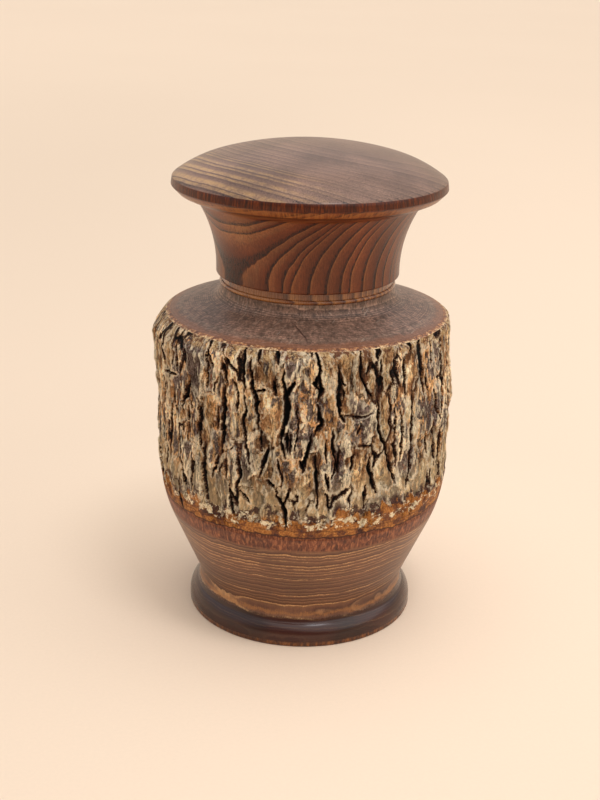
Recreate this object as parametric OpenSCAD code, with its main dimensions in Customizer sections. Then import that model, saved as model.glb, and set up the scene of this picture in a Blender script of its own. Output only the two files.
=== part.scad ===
// Tea caddy turned from one short log that keeps its bark round the belly.
// A collar glued into the mouth guides a flared outer lid and seats a flat inner lid with a knob.
// Millimetres, +Z up, origin at the centre of the foot's underside.

/* [Log] */
// Outside radius of the bark round the belly
log_r = 48.4; // [47.6:0.2:49.6]
// Thickness of the rough outer bark
bark_t = 1.2; // [1:0.1:2]
// Thickness of the reddish inner bark under it
inner_bark_t = 1.5; // [1:0.1:2]
// Number of fissures down the bark
fissure_count = 44; // [16:1:60]
// Depth of the fissures as a share of the bark's thickness
fissure_depth = 0.6; // [0.3:0.05:0.8]
// Seed for the places, widths and lengths of the fissures
fissure_seed = 11; // [1:1:99]

/* [Turned body] */
// Height of the body to the ledge round its mouth
body_h = 113.4; // [112:0.2:118]
// Radius of the flat foot band
foot_r = 38.5; // [38:0.25:39.5]
// Height of the flat foot band
foot_band_h = 2.3; // [1.8:0.1:2.8]
// Radius of the foot's rounded moulding
foot_round_r = 6; // [5.6:0.1:6.4]
// Radius of the waist above the foot
waist_r = 34.9; // [34.4:0.1:35.4]
// Height of the waist above the table
waist_z = 11; // [10.6:0.1:11.6]
// Lean of the tapered flank from vertical, in degrees
flank_angle = 23.7; // [22.5:0.1:25]
// Radius of the curve that turns the flank into the belly
belly_curve_r = 47.4; // [44:0.2:50]
// Height at which the belly becomes upright
belly_z = 53.4; // [52:0.2:55]
// Radius of the rounded shoulder edge
shoulder_edge_r = 5.25; // [4:0.25:6.5]
// Radius of the shoulder's slight crown
crown_r = 138; // [125:1:150]
// Radius of the hollow between the shoulder and the mouth
neck_hollow_r = 5; // [4.5:0.1:5.5]
// Radius of the ledge round the mouth
ledge_r = 28.2; // [27.9:0.1:28.8]

/* [Tea chamber] */
// Radius of the bore that holds the tea
chamber_r = 27.5; // [26.5:0.25:28]
// Depth of wood left above the bore, down from the mouth ledge
mouth_h = 13.4; // [10:0.2:16]
// Thickness of the disc that closes the bore
plug_h = 8; // [6:0.5:10]
// Radius of the shallow recess under the foot
recess_r = 31.5; // [30:0.5:33]
// Depth of that recess
recess_h = 1.5; // [1:0.25:2]

/* [Collar] */
// Outside radius of the collar's visible ring
ring_r = 27.9; // [27.6:0.1:28.2]
// Height of the visible ring, which carries the outer lid
ring_h = 3.6; // [3:0.1:4.2]
// Radius of the bead at the foot of the ring
bead_r = 0.7; // [0.5:0.05:0.8]
// Outside radius of the spigot inside the outer lid
spigot_r = 25.2; // [24.8:0.1:25.4]
// Height of the spigot above the ring
spigot_h = 17; // [14:0.5:17.5]
// Inside radius of the collar
collar_bore_r = 22.5; // [21.5:0.1:23]

/* [Outer lid] */
// Height of the outer lid
lid_h = 42; // [41:0.5:44]
// Radius of the lid at its seam
lid_seam_r = 29.7; // [29.4:0.1:30.4]
// Height of the straight part above the seam
lid_straight_h = 2.1; // [1.6:0.1:2.6]
// Radius of the flare's hollow curve
flare_r = 40.8; // [38:0.2:42]
// Lean of the flare at its top, in degrees
flare_angle = 32; // [30:0.5:33]
// Largest radius of the lid's rim
rim_r = 44.05; // [43.5:0.05:45]
// Height of the rim's upright band
rim_h = 2.5; // [2:0.1:3]
// Width and height of the bevel under the rim
rim_bevel = 2.4; // [2:0.1:2.6]
// Radius of the dome over its middle
dome_r = 110; // [100:1:120]
// Radius of the dome towards its rim
dome_edge_r = 41.4; // [39:0.2:44]
// Running clearance of the lid round the spigot
lid_clearance = 0.15; // [0.1:0.05:0.3]
// Height of the socket inside the lid
socket_h = 30.4; // [29.8:0.2:31]

/* [Inner lid] */
// Thickness of the inner lid's flange
flange_t = 2.4; // [2:0.1:2.6]
// Depth of the inner lid's plug inside the collar
stopper_h = 7.5; // [6:0.5:9]
// Clearance of the plug inside the collar
stopper_clearance = 0.2; // [0.1:0.05:0.4]
// Height of the knob above the inner lid
knob_h = 9; // [8:0.25:9.25]
// Radius of the knob's head
knob_r = 7.5; // [6:0.25:9]
// Radius of the knob's tenon
tenon_r = 2.5; // [2:0.1:3]

/* [Hidden] */
$fn = 96;
small_fn = 32;            // sides of the smallest rounds
over = 1;                 // how far cutting shapes run past what they cut
glue_gap = 0.05;          // room for glue round every plug and tenon
soft_edge = 0.4;          // small chamfer on turned corners
foot_round_end = 57;      // where the moulding meets the waist hollow, in degrees
waist_curve_r = 8;
waist_turn = 25;          // half of the waist hollow's sweep, in degrees
edge_turn = 70;           // sweep of the shoulder edge, in degrees
hollow_turn = 75;         // sweep of the hollow under the mouth, in degrees
crown_steps = 9;          // straight steps along the shoulder's slight crown
fissure_bottom = 8;       // how far below the belly the fissures may start
fissure_top = 12;         // how far below the mouth ledge they stop
fissure_shift = 0.35;     // how far a fissure may stray sideways, as a share of the spacing
fissure_lengths = [0.3, 0.9];  // shortest and longest, as shares of the bark's height
fissure_widths = [0.5, 1.1];   // half of the opening, narrowest and widest
fissure_depths = [0.6, 1];     // shallowest and deepest, as shares of fissure_depth
head_share = 0.45;        // the knob head's share of the knob's height
head_under = -20;         // where the head's round starts under its edge, in degrees
knob_waist = 0.52;        // narrowest radius of the knob, as a share of its largest
cove_share = 0.3;         // radius of the cove under the head, as a share of the same
cove_height = 0.2;        // height of the cove's centre, as a share of the knob's height
cove_start = 215;         // the cove's sweep, in degrees
cove_end = 130;
dome_blend_x = 30;        // radius at which the dome's two curves meet
rim_lean = 0.35;          // how far the rim band leans in at its top
lid_corner_r = 0.6;
ceiling_round = 3;

wood_r = log_r - bark_t - inner_bark_t;
bast_r = log_r - bark_t;

// Points along an arc about [x, y], from angle a to angle b
function arc(x, y, r, a, b, n = 12) =
    [for (i = [0:n]) [x + r * cos(a + (b - a) * i / n), y + r * sin(a + (b - a) * i / n)]];
// Height of a circle of radius r centred on the axis, at distance x from the axis
function crown(r, x) = sqrt(r * r - x * x);

// Shoulder: the edge's outer end, the crown's centre and the hollow, worked down from the ledge
edge_x = log_r - shoulder_edge_r * (1 - cos(edge_turn));
hollow_x = ledge_r + neck_hollow_r * (1 - cos(hollow_turn));
hollow_z = body_h - neck_hollow_r * sin(hollow_turn);
crown_z = hollow_z - crown(crown_r, hollow_x);
shoulder_z = crown_z + crown(crown_r, edge_x) - shoulder_edge_r * sin(edge_turn);

// Lid: the dome's two curves meet on one tangent and end at the rim band
seam_z = body_h + ring_h;
blend_turn = asin(dome_blend_x / dome_r);
dome_edge_x = dome_blend_x - dome_edge_r * sin(blend_turn);
dome_edge_z = lid_h - dome_r + (dome_r - dome_edge_r) * cos(blend_turn);
rim_turn = asin((rim_r - rim_lean - dome_edge_x) / dome_edge_r);
rim_top = dome_edge_z + dome_edge_r * cos(rim_turn);
socket_r = spigot_r + lid_clearance;
spigot_top = seam_z + spigot_h;

// The surface that the lathe leaves on the log, cutting through wood and bark alike
module lathe_cut() {
    polygon(concat(
        [[0, 0], [foot_r - soft_edge, 0], [foot_r, soft_edge]],
        arc(foot_r - foot_round_r, foot_band_h, foot_round_r, 0, foot_round_end),
        arc(waist_r + waist_curve_r, waist_z, waist_curve_r, 180 + waist_turn, 180 - flank_angle),
        arc(log_r - belly_curve_r, belly_z, belly_curve_r, -flank_angle, 0),
        arc(log_r - shoulder_edge_r, shoulder_z, shoulder_edge_r, 0, edge_turn),
        [for (i = [1:crown_steps - 1])
            let (x = edge_x + (hollow_x - edge_x) * i / crown_steps) [x, crown_z + crown(crown_r, x)]],
        arc(ledge_r + neck_hollow_r, body_h, neck_hollow_r, 180 + hollow_turn, 180),
        [[0, body_h]]
    ));
}

// One layer of the log, between two radii
module log_layer(inner_r, outer_r) {
    intersection() {
        lathe_cut();
        translate([inner_r, 0]) square([outer_r - inner_r, body_h + over]);
    }
}

module body() {
    color("saddlebrown")
    rotate_extrude()
    difference() {
        log_layer(0, wood_r);
        translate([0, -over]) square([chamber_r, body_h - mouth_h + over]);
        square([spigot_r + glue_gap, body_h + over]);
        translate([0, -over]) square([recess_r, recess_h + over]);
    }
}

module inner_bark() {
    color("sienna") rotate_extrude() log_layer(wood_r, bast_r);
}

// A tapering groove cut down into the bark from outside
module fissure(angle, low, high, width, depth) {
    rotate(angle)
    translate([0, 0, low])
    linear_extrude(high - low)
    polygon([[log_r - depth, 0], [log_r + over, -width], [log_r + over, width]]);
}

module bark() {
    shifts = rands(-fissure_shift, fissure_shift, fissure_count, fissure_seed);
    starts = rands(0, 1, fissure_count, fissure_seed + 1);
    lengths = rands(fissure_lengths[0], fissure_lengths[1], fissure_count, fissure_seed + 2);
    widths = rands(fissure_widths[0], fissure_widths[1], fissure_count, fissure_seed + 3);
    depths = rands(fissure_depths[0], fissure_depths[1], fissure_count, fissure_seed + 4);
    lowest = belly_z - fissure_bottom;
    span = body_h - fissure_top - lowest;
    color("tan")
    difference() {
        rotate_extrude() log_layer(bast_r, log_r + over);
        for (i = [0:fissure_count - 1])
            let (length = span * lengths[i], low = lowest + (span - length) * starts[i])
            fissure((i + shifts[i]) * 360 / fissure_count, low, low + length, widths[i],
                    bark_t * fissure_depth * depths[i]);
    }
}

module base_plug() {
    plug_r = chamber_r - glue_gap;
    color("peru")
    rotate_extrude()
    translate([0, recess_h])
    polygon([[0, 0], [plug_r, 0], [plug_r, plug_h - soft_edge], [plug_r - soft_edge, plug_h], [0, plug_h]]);
}

module neck_collar() {
    color("chocolate")
    rotate_extrude()
    difference() {
        union() {
            translate([0, body_h - mouth_h]) square([spigot_r, mouth_h + ring_h + spigot_h - soft_edge]);
            translate([0, body_h]) square([ring_r, ring_h]);
            translate([0, spigot_top - soft_edge]) square([spigot_r - soft_edge, soft_edge]);
            translate([ring_r, body_h + bead_r]) circle(bead_r, $fn = small_fn);
        }
        translate([0, body_h - mouth_h - over]) square([collar_bore_r, body_h]);
    }
}

module inner_lid() {
    stopper_r = collar_bore_r - stopper_clearance;
    flange_r = spigot_r - soft_edge;
    color("peru")
    rotate_extrude()
    translate([0, spigot_top])
    difference() {
        polygon([[0, -stopper_h], [stopper_r - soft_edge, -stopper_h], [stopper_r, soft_edge - stopper_h],
                 [stopper_r, 0], [flange_r, 0], [flange_r, flange_t - soft_edge],
                 [flange_r - soft_edge, flange_t], [0, flange_t]]);
        translate([0, flange_t - stopper_h]) square([tenon_r + glue_gap, stopper_h + over]);
    }
}

module inner_lid_knob() {
    head_h = knob_h * head_share;
    cove_r = knob_r * cove_share;
    cove = arc(knob_r * knob_waist + cove_r, knob_h * cove_height, cove_r, cove_start, cove_end, 8);
    color("saddlebrown")
    rotate_extrude()
    translate([0, spigot_top + flange_t])
    polygon(concat(
        [[0, glue_gap - stopper_h], [tenon_r, glue_gap - stopper_h], [tenon_r, 0], [cove[0][0], 0]],
        cove,
        [for (a = [head_under:10:90]) [knob_r * cos(a), knob_h - head_h + head_h * sin(a)]]
    ));
}

module outer_lid() {
    rim_low = rim_top - rim_h;
    color("brown")
    rotate_extrude()
    translate([0, seam_z])
    difference() {
        polygon(concat(
            [[0, 0]],
            arc(lid_seam_r - lid_corner_r, lid_corner_r, lid_corner_r, -90, 0, 4),
            arc(lid_seam_r + flare_r, lid_straight_h, flare_r, 180, 180 - flare_angle),
            [[rim_r - rim_bevel, rim_low - rim_bevel], [rim_r, rim_low]],
            arc(dome_edge_x, dome_edge_z, dome_edge_r, 90 - rim_turn, 90 - blend_turn, 10),
            arc(0, lid_h - dome_r, dome_r, 90 - blend_turn, 90, 16)
        ));
        translate([0, -over]) square([socket_r, socket_h + over - ceiling_round]);
        translate([0, -over]) square([socket_r - ceiling_round, socket_h + over]);
        translate([socket_r - ceiling_round, socket_h - ceiling_round]) circle(ceiling_round, $fn = small_fn);
    }
}

body();
inner_bark();
bark();
base_plug();
neck_collar();
inner_lid();
inner_lid_knob();
outer_lid();
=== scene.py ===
import itertools
import math

import bpy
import numpy as np
from mathutils import Matrix, Vector


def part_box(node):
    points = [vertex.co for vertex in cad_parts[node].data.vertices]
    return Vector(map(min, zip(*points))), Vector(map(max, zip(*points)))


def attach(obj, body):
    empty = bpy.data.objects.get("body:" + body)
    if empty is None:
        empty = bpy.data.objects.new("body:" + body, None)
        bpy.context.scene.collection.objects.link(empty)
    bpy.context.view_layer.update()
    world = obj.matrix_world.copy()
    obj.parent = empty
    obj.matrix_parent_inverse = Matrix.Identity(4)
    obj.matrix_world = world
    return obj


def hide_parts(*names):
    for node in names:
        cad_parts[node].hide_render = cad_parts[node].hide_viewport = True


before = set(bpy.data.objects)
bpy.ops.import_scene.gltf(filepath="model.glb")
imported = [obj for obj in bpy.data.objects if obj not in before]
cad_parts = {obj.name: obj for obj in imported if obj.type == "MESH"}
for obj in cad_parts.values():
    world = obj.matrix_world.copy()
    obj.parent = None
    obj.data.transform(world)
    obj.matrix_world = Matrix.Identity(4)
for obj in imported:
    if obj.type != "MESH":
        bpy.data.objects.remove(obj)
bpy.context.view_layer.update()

MM = 0.001
SEED = 7


# ---------------------------------------------------------------- sizes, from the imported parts
def top(node):
    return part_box(node)[1].z / MM


def bottom(node):
    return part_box(node)[0].z / MM


BODY_H = top("body")
LOG_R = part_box("bark")[1].x / MM
FOOT_R = 38.5
SEAM_Z = bottom("outer_lid")
LID_TOP = top("outer_lid")
SPIGOT_TOP = top("neck_collar")
STOPPER_Z = bottom("inner_lid")
FLANGE_Z = top("inner_lid")
KNOB_Z = top("inner_lid_knob")
COLLAR_Z = bottom("neck_collar")
PLUG_LOW, PLUG_TOP = bottom("base_plug"), top("base_plug")

# Shoulder: ledge round the mouth, hollow beside it, crowned top and rounded edge
LEDGE_R = 28.2
HOLLOW_R = 5.0
HOLLOW_TURN = 75
EDGE_R = 5.25
EDGE_TURN = 70
CROWN_R = 138.0

# Flank, waist and foot
BELLY_R, BELLY_Z, FLANK_TURN = 47.4, 53.4, 23.7
WAIST_X, WAIST_Z, WAIST_R = 42.9, 11.0, 8
WAIST_START, WAIST_END = 205, 156.3
MOULDING_R, MOULDING_Z, MOULDING_TURN = 6, 2.3, 57
FOOT_EDGE = 0.5
RECESS_R, RECESS_TOP = 31.5, 1.5

# Bores and the fits between the pieces
CHAMBER_R = 27.5
SPIGOT_R = 25.2
MOUTH_R = 22.5
STOPPER_R = 22.3
FLANGE_R = 24.8
TENON_R = 2.5
GAP = 0.05
CHAMFER = 0.4


def cos(degrees):
    return math.cos(math.radians(degrees))


def sin(degrees):
    return math.sin(math.radians(degrees))


def arc(x, z, r, start, end, n):
    """Points on an arc about (x, z), in degrees, with both ends."""
    turns = [start + (end - start) * i / n for i in range(n + 1)]
    return [(x + r * cos(turn), z + r * sin(turn)) for turn in turns]


# The shoulder, worked down from the ledge round the mouth
edge_x = LOG_R - EDGE_R * (1 - cos(EDGE_TURN))
hollow_x = LEDGE_R + HOLLOW_R * (1 - cos(HOLLOW_TURN))
hollow_z = BODY_H - HOLLOW_R * sin(HOLLOW_TURN)
crown_z = hollow_z - math.sqrt(CROWN_R ** 2 - hollow_x ** 2)
SHOULDER_Z = crown_z + math.sqrt(CROWN_R ** 2 - edge_x ** 2) - EDGE_R * sin(EDGE_TURN)

foot_line = ([(RECESS_R, 0.0), (FOOT_R - FOOT_EDGE, 0.0)]
             + arc(FOOT_R - FOOT_EDGE, FOOT_EDGE, FOOT_EDGE, -90, 0, 4)
             + arc(FOOT_R - MOULDING_R, MOULDING_Z, MOULDING_R, 0, MOULDING_TURN, 24))
waist_line = arc(WAIST_X, WAIST_Z, WAIST_R, WAIST_START, WAIST_END, 18)
belly_line = arc(LOG_R - BELLY_R, BELLY_Z, BELLY_R, -FLANK_TURN, 0, 60)
edge_line = arc(LOG_R - EDGE_R, SHOULDER_Z, EDGE_R, 0, EDGE_TURN, 24)
crown_line = [(x, crown_z + math.sqrt(CROWN_R ** 2 - x * x))
              for x in np.linspace(edge_x, hollow_x, 26)[1:-1]]
hollow_line = arc(LEDGE_R + HOLLOW_R, BODY_H, HOLLOW_R, 180 + HOLLOW_TURN, 180, 14)


def cut_at_r(line, r, rising):
    """The part of a line below (rising) or above radius r, ending exactly on it."""
    out = []
    for (ra, za), (rb, zb) in zip(line, line[1:]):
        if rising:
            out.append((ra, za))
            if ra < r <= rb:
                t = (r - ra) / (rb - ra)
                return out + [(r, za + t * (zb - za))]
        elif ra > r >= rb:
            t = (r - ra) / (rb - ra)
            out = [(r, za + t * (zb - za))]
        elif out:
            out.append((ra, za))
    return out + ([] if rising else [line[-1]])


# Radii at which the layers meet the turned surface: the log tapers, so they are smaller at the top
WOOD_LOW, WOOD_TOP = 45.85, 44.7
BAST_LOW, BAST_TOP = 47.2, 46.1
WOOD_HIDDEN, BAST_HIDDEN = 44.4, 45.5

flank = foot_line + waist_line + belly_line
shoulder = edge_line + crown_line + hollow_line
low_wood = cut_at_r(flank, WOOD_LOW, True)
low_bast = cut_at_r(flank, BAST_LOW, True)
top_wood = cut_at_r(shoulder, WOOD_TOP, False)
top_bast = cut_at_r(shoulder, BAST_TOP, False)
z_wood_low, z_bast_low = low_wood[-1][1], low_bast[-1][1]
z_wood_top, z_bast_top = top_wood[0][1], top_bast[0][1]


# ---------------------------------------------------------------- meshes
def add_object(name, data):
    obj = bpy.data.objects.new(name, data)
    bpy.context.scene.collection.objects.link(obj)
    return obj


def finish_mesh(name, verts, faces, body, replaced, slot, material, sharp=38):
    """Makes one piece of the visual model, smooth apart from edges that turn more than sharp degrees."""
    mesh = bpy.data.meshes.new(name)
    mesh.from_pydata(verts, [], faces)
    mesh.validate()
    mesh.update()
    mesh.shade_smooth()
    mesh.set_sharp_from_angle(angle=math.radians(sharp))
    mesh.materials.append(material)
    obj = add_object(name, mesh)
    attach(obj, body)
    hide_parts(replaced)
    return obj


def lathe(profile, seg=360):
    """Revolves a closed loop of (r, z) in mm, anticlockwise in the r-z plane, into a closed mesh."""
    verts, faces, rings = [], [], []
    for r, z in profile:
        if r < 1e-6:
            rings.append([len(verts)])
            verts.append((0.0, 0.0, z * MM))
        else:
            rings.append(list(range(len(verts), len(verts) + seg)))
            verts += [(r * MM * cos(360 * i / seg), r * MM * sin(360 * i / seg), z * MM) for i in range(seg)]
    for a, b in zip(rings, rings[1:] + rings[:1]):
        if len(a) == 1 and len(b) == 1:
            continue
        for i in range(seg):
            j = (i + 1) % seg
            if len(a) == 1:
                faces.append((a[0], b[j], b[i]))
            elif len(b) == 1:
                faces.append((a[i], a[j], b[0]))
            else:
                faces.append((a[i], a[j], b[j], b[i]))
    return verts, faces


# ---------------------------------------------------------------- seeded noise on arrays
def lattice(i, j, k, seed):
    h = (i.astype(np.uint32) * np.uint32(0x9E3779B1)) ^ (j.astype(np.uint32) * np.uint32(0x85EBCA77))
    h = h ^ (k.astype(np.uint32) * np.uint32(0xC2B2AE3D)) ^ np.uint32((seed * 0x27D4EB2F) & 0xFFFFFFFF)
    h = (h ^ (h >> np.uint32(15))) * np.uint32(0x2C1B3C6D)
    h = (h ^ (h >> np.uint32(12))) * np.uint32(0x297A2D39)
    return (h ^ (h >> np.uint32(15))).astype(np.float64) / 4294967295.0


def smooth01(t):
    """Smoothstep of t from 0 to 1."""
    t = np.clip(t, 0, 1)
    return t * t * (3 - 2 * t)


def step(x, lo, hi):
    return smooth01((x - lo) / (hi - lo))


def noise3(x, y, z, seed, octaves=1):
    """Value noise from -1 to 1."""
    total, weight, size = 0.0, 1.0, 0.0
    for o in range(octaves):
        places = np.stack([x, y, z]) * 2.0 ** o
        cells = np.floor(places)
        tx, ty, tz = smooth01(places - cells)
        i, j, k = cells.astype(np.int64)
        value = 0.0
        for dx, dy, dz in itertools.product((0, 1), repeat=3):
            w = (tx if dx else 1 - tx) * (ty if dy else 1 - ty) * (tz if dz else 1 - tz)
            value = value + w * lattice(i + dx, j + dy, k + dz, seed + 31 * o)
        total = total + weight * (value * 2 - 1)
        size += weight
        weight *= 0.5
    return total / size


# ---------------------------------------------------------------- the bark's fissures
# Each is a line of (degrees to the right of the front, height in mm), and then its width in mm.
FISSURES = [
    ((-37.5, 104), (-37.8, 98), (-37.2, 90), 1.3), ((-31, 99.5), (-29.8, 96), (-28.7, 92.5), 1.7),
    ((-30.2, 92), (-31, 82), (-31, 76), (-31.6, 69), 2.1), ((-33, 68), (-34.2, 64), (-36, 60), 1.0),
    ((-22.5, 106), (-22.4, 98), (-22.2, 91), 0.9),
    ((-22.3, 90), (-21.4, 85), (-23.1, 81), (-21.6, 74), (-19.5, 68), 1.1),
    ((-19.7, 101.5), (-18.9, 92), (-17.3, 88), (-17.2, 79), 1.5), ((-10.4, 106), (-9, 100.5), 1.1),
    ((-7.2, 101), (-6.9, 91), (-7.2, 84), (-8, 77), (-6.5, 71), 1.1),
    ((-6.6, 91.5), (-6.3, 87), (-7.2, 81), 2.4), ((-3.3, 96), (-6.4, 90), 1.1),
    ((-16, 79), (-15.2, 72), 0.8), ((-12, 74.5), (-13.5, 70), (-15.7, 64), 1.1),
    ((-24.5, 71), (-23, 63), (-24.6, 58.5), 1.2), ((-27.4, 58.7), (-27.2, 55), (-26.2, 49.5), 1.2),
    ((-23.6, 59), (-19.5, 54.8), 0.8), ((-13.2, 63), (-10.8, 60.5), 1.2),
    ((-9.7, 60.5), (-9.5, 57.5), (-6.6, 54.5), (-5.4, 47), 1.1), ((-4.5, 61), (-6.4, 54.8), 0.8),
    ((-9, 70), (-7.3, 64), (-8.2, 61), 0.6), ((-6.2, 80), (-5.5, 73), 0.6),
    ((-40, 71), (-40.4, 62), (-38.4, 51.5), 1.7), ((-41.4, 83), (-43, 74), (-41.7, 68), 1.7),
    ((-48.6, 81), (-47.5, 73), 1.4), ((-47.3, 90), (-49, 85.5), (-51.4, 82.5), 1.8),
    ((-54.4, 104), (-54.8, 98), (-54.4, 91), 1.4), ((-54, 71), (-53.2, 62), 2.3),
    ((-55, 62), (-51.5, 60.5), (-51.2, 53), 1.7), ((-55.4, 55), (-53.4, 44), 1.8),
    ((-46.6, 84), (-46, 80), 1.0), ((-60.3, 80), (-61.5, 70), (-64, 58), 1.8), ((-67, 89), (-69, 79), 1.7),
    ((-65, 89), (-60, 89.2), (-55.5, 90.3), 0.8), ((-26.8, 94), (-24.5, 90), (-25.6, 84), 0.9),
    ((-17, 106), (-16, 100), 0.7), ((3.4, 105.5), (5.3, 99), (4, 95), (5.3, 91), 1.1),
    ((5.2, 97), (5.9, 93), (4.8, 89), 1.5), ((4.6, 88), (6.2, 82), (3.6, 78.5), 1.2),
    ((12, 100.5), (12.4, 93), (12, 90), (13, 85), (14.6, 82.3), 1.3),
    ((20.6, 106), (21.3, 98), (23.2, 92), (26, 87.5), 1.1), ((24.6, 101), (24.2, 96), 0.7),
    ((27.3, 106), (27.8, 101), 1.3), ((28.9, 101), (29.2, 96), (29, 90), 1.2),
    ((39.4, 100), (41, 93), (40.4, 87), 1.2), ((40.6, 110), (42, 105), (43.4, 101), 2.0),
    ((48.4, 105), (50, 98), (50.4, 86.5), 2.1),
    ((28.2, 89), (27.4, 81), (30, 75.5), (33, 69), (36.8, 59.5), 1.4), ((32.6, 88.5), (33.6, 77), 0.8),
    ((38, 84), (38.5, 76), (38.7, 67), 0.7),
    ((44.3, 88), (44.6, 78), (44.6, 69), (44.4, 64), (43, 56), 1.4),
    ((10.8, 80), (11.4, 74), (12.6, 68), (11, 64), 0.9), ((3, 79), (1, 72), (0, 65.5), 1.2),
    ((4.2, 72), (5.4, 63), (5.8, 54.5), 1.0), ((24.6, 70), (25.2, 66), (28.6, 57.5), 1.7),
    ((23.6, 61), (24.1, 53), 0.9), ((59, 86), (61.4, 78), 1.2), ((59.5, 75), (61.5, 66), (62.2, 59), 1.4),
    ((21, 82), (19.5, 78.5), 0.7), ((14, 84.6), (19, 83.4), (24.5, 84.4), 0.4),
    ((56.5, 103), (57, 94), 1.0), ((1, 106), (2.3, 103), 0.8), ((-1.5, 70.5), (0.8, 66.5), 1.2),
    ((8.8, 66), (10, 60), 0.7), ((13.5, 74), (13.2, 66), 1.0), ((-58.5, 85), (-57.6, 80), 1.3),
    ((-51.6, 85), (-51, 79), 1.4), ((-42.2, 84), (-41.6, 77.5), 1.0), ((-36.4, 100.5), (-34.8, 96.5), 0.8),
    ((-28.8, 101), (-28.4, 97), 0.7), ((-22.4, 101), (-22.2, 91.5), 0.7),
    ((-10.6, 95.5), (-10.2, 90.5), 0.8), ((-17.4, 91), (-13.6, 92.2), 1.0), ((-5, 79.5), (-4.3, 72.5), 0.5),
    ((-62.4, 92), (-62, 84), 1.0), ((-46.2, 66), (-46.6, 58), (-45.8, 53), 0.8),
    ((-33.5, 84), (-34, 76), 0.7), ((-2.8, 88), (-2.2, 80), (-3.2, 74), 0.5), ((13, 97), (14.6, 94), 0.7),
    ((13.6, 93), (14, 89), 0.7), ((8.2, 77), (8.8, 70), 0.5), ((18.6, 74), (17.8, 66), 0.6),
    ((35.2, 86), (35.6, 76), 0.5), ((53, 95), (54, 84), 0.8), ((53.6, 74), (54.6, 64), 0.7),
    ((63, 104), (64.2, 95), 0.9), ((64.6, 91), (65.8, 81), 1.1), ((66, 73), (67, 61), 1.1),
]


def more_fissures(rng):
    """Fissures for the sides and back, in the same manner as the ones listed."""
    out, angle = [], 66.0
    while angle < 290:
        z = rng.uniform(98, 106)
        while z > 56:
            length = rng.uniform(9, 30)
            low = max(z - length, 47)
            lean = rng.normal(0, 0.06) * (z - low)
            mid = rng.normal(0, 0.7)
            a = angle + rng.uniform(-2.2, 2.2)
            out.append(((a, z), (a + lean / 2 + mid, (z + low) / 2), (a + lean, low), rng.uniform(0.6, 1.5)))
            if rng.random() < 0.35:
                out.append(((a + lean, low), (a + lean + rng.choice([-1, 1]) * rng.uniform(2, 5),
                                              low + rng.uniform(3, 7)), rng.uniform(0.6, 1.1)))
            z = low - rng.uniform(0.5, 9)
        angle += rng.uniform(5.2, 9.5)
    return out


def blurred(field, columns, rows):
    """Box blur of a grid that closes on itself along its rows."""
    total = sum(np.roll(field, k, axis=1) for k in range(-columns, columns + 1)) / (2 * columns + 1)
    padded = np.pad(total, ((rows, rows), (0, 0)), mode="edge")
    return sum(padded[k:k + len(field)] for k in range(2 * rows + 1)) / (2 * rows + 1)


UNROLL_R = 48.0  # radius at which the bark is laid out flat
ROUND_LOG = 2 * math.pi * UNROLL_R
PLATE_COLUMNS, PLATE_H = 44, 15.0
MEAN_R, GROOVE_R, LEAST_R = 48.05, 45.75, 45.62
FINE_BELOW, FINE_ABOVE = 47, 100.5  # heights past which the grid's rows are closer together


def bark_plates(u, z):
    """Tall irregular cells: each one's random number, its tilt at a place and the distance to its border."""
    wide = ROUND_LOG / PLATE_COLUMNS
    column, row = (u + ROUND_LOG / 2) / wide, z / PLATE_H
    best, second = np.full(u.shape, 9.0), np.full(u.shape, 9.0)
    plate, tilt = np.zeros(u.shape), np.zeros(u.shape)
    for du, dz in itertools.product((-1, 0, 1), (-2, -1, 0, 1, 2)):
        i, j = np.floor(column).astype(np.int64) + du, np.floor(row).astype(np.int64) + dz
        across, up, pick = (lattice(i % PLATE_COLUMNS, j, j * 0 + k, k + 16) for k in (5, 6, 7))
        across = column - i - across
        dist = np.hypot(across, (row - j - up) * 0.85)
        nearer = dist < best
        second = np.where(nearer, best, np.minimum(second, dist))
        tilt = np.where(nearer, across * (pick * 2 - 1), tilt)
        plate = np.where(nearer, pick, plate)
        best = np.where(nearer, dist, best)
    return plate, tilt, (second - best) * wide / 2


def distance_to(points, u, z):
    """Distance to a broken line, and the share of the line's length at its nearest point."""
    runs = np.diff(points, axis=0)
    span = np.r_[0, np.cumsum(np.hypot(*runs.T))]
    nearest, along = np.full(u.shape, 99.0), np.zeros(u.shape)
    for n, run in enumerate(runs):
        x = (u - points[n][0] + ROUND_LOG / 2) % ROUND_LOG - ROUND_LOG / 2
        y = z - points[n][1]
        t = np.clip((x * run[0] + y * run[1]) / (run @ run), 0, 1)
        dist = np.hypot(x - t * run[0], y - t * run[1])
        along = np.where(dist < nearest, (span[n] + t * (span[n + 1] - span[n])) / span[-1], along)
        nearest = np.minimum(dist, nearest)
    return nearest, along


def lathe_radius(z):
    """Radius of the lathe's cut, which opens outwards past the belly and the shoulder."""
    low_r, low_h = zip(*[p for p in belly_line if p[1] <= 47.5])
    top_r, top_h = zip(*([p for p in edge_line if p[0] <= 47.6] + crown_line[:3]))
    low_slope = (low_r[-1] - low_r[-2]) / (low_h[-1] - low_h[-2])
    top_slope = (top_r[0] - top_r[1]) / (top_h[1] - top_h[0])
    cut_low = np.where(z < low_h[-1], np.interp(z, low_h, low_r),
                       low_r[-1] + low_slope * 1.05 * (z - low_h[-1]))
    cut_top = np.where(z > top_h[0], np.interp(z, top_h, top_r),
                       top_r[0] + top_slope * (top_h[0] - z))
    return np.minimum(cut_low, cut_top)


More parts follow.
